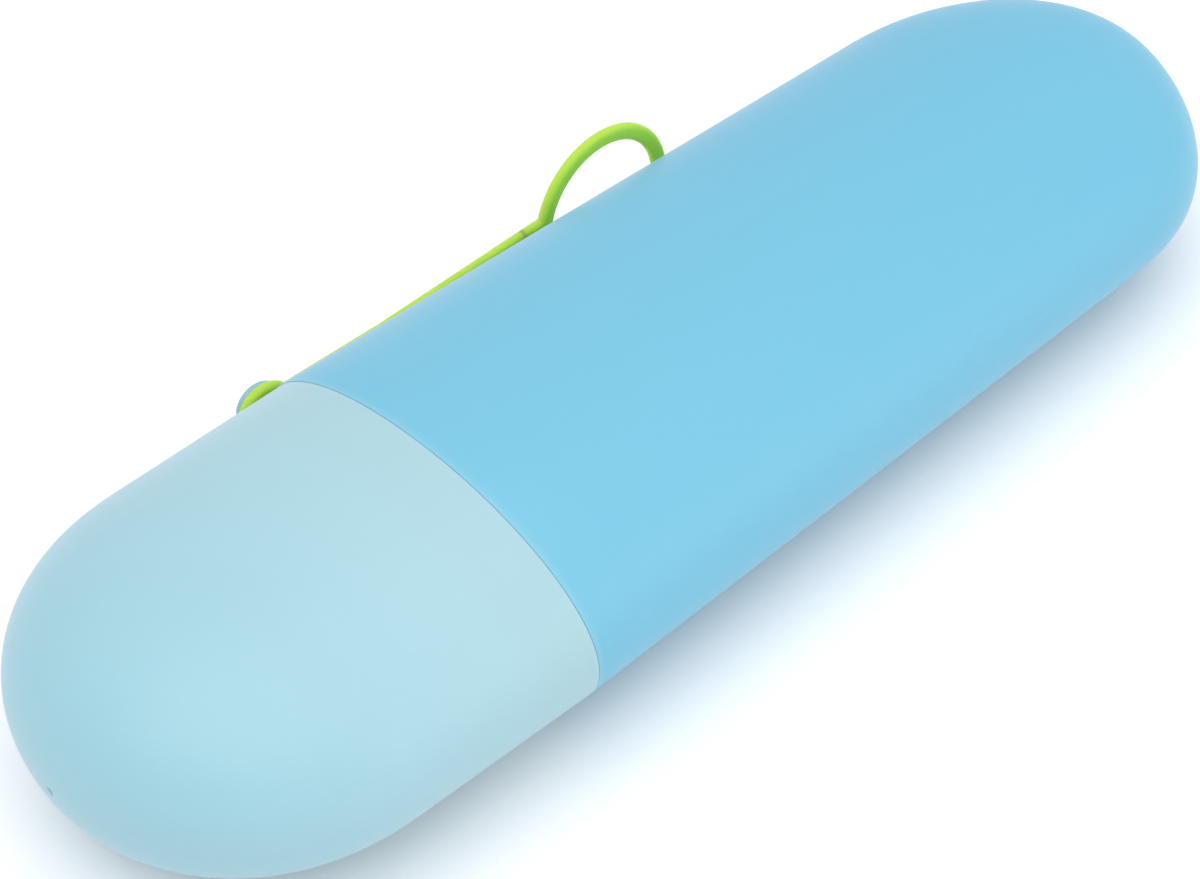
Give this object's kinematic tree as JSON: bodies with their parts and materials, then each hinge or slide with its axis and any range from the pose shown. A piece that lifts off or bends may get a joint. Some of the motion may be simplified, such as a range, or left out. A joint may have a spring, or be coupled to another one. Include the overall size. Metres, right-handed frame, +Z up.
{
  "type": "toothbrush case",
  "caption": "Capsule-shaped travel case for a toothbrush: two slip-fit plastic halves, with a silicone strap that hooks over a button on the seam and ends in a carry ring.",
  "frame": {"origin": "on the rest flat under the case, half-way along its length and on its centre line", "axes": "+X along the case towards the closed end of the long half, the cap at -X; +Y towards the side with the button and the strap; +Z up from the rest flat"},
  "size_m": [0.204, 0.0689, 0.0341],
  "materials": {
    "body_plastic": "satin sky-blue polypropylene, slightly translucent at its edges",
    "cap_plastic": "satin ice-blue polypropylene, slightly translucent at its edges",
    "strap_silicone": "soft matte lime-green silicone rubber"
  },
  "bodies": {
    "body": {"case_body": "body_plastic", "strap_root": "strap_silicone"},
    "cap": {"case_cap": "cap_plastic"},
    "band": {"closure_band": "strap_silicone"},
    "ring": {"carry_ring": "strap_silicone"}
  },
  "joints": [
    {"name": "cap_pull", "type": "slide", "parent": "body", "child": "cap", "axis": [-1, 0, 0], "range_m": [0, 0.06]},
    {"name": "band_unhook", "type": "hinge", "parent": "body", "child": "band", "pos_m": [0.002, 0.03475, 0.01675], "axis": [0, 0, -1], "range_deg": [0, 110], "stiffness_Nm_per_rad": 0.001, "deforming": ["closure_band"]},
    {"name": "ring_swing", "type": "hinge", "parent": "body", "child": "ring", "pos_m": [0.0079, 0.03475, 0.01675], "axis": [0, 0, 1], "range_deg": [0, 80], "stiffness_Nm_per_rad": 0.001}
  ]
}
